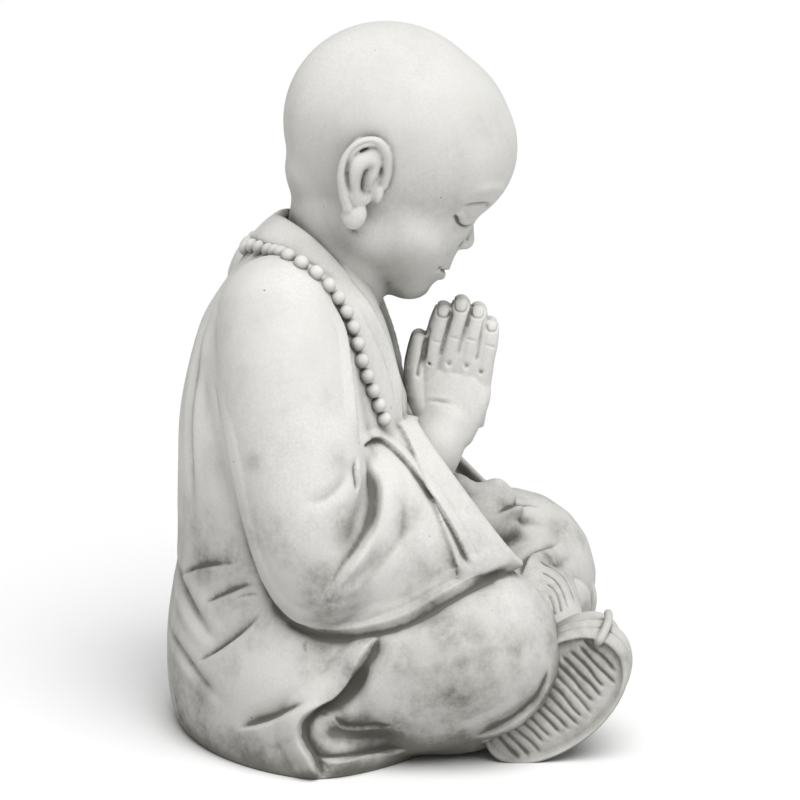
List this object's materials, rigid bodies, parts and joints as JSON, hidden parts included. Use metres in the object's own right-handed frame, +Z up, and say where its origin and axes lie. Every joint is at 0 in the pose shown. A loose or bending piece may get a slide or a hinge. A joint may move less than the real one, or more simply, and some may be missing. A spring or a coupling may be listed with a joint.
{
  "type": "baby buddha statue",
  "caption": "Seated child monk statue with palms together, in a robe with wide sleeves, a string of beads and straw sandals, cast in pale stone.",
  "frame": {"origin": "on the flat underside, below the middle of the figure from its back to its sandals", "axes": "+Z up, the figure faces -Y and its right hand side is towards -X"},
  "size_m": [0.358, 0.3934, 0.6005],
  "materials": {
    "cast_stone": "matte cast stone with a grey wash left in the folds and small pinholes"
  },
  "bodies": {
    "root": {"baby_buddha_statue": "cast_stone"}
  },
  "joints": []
}
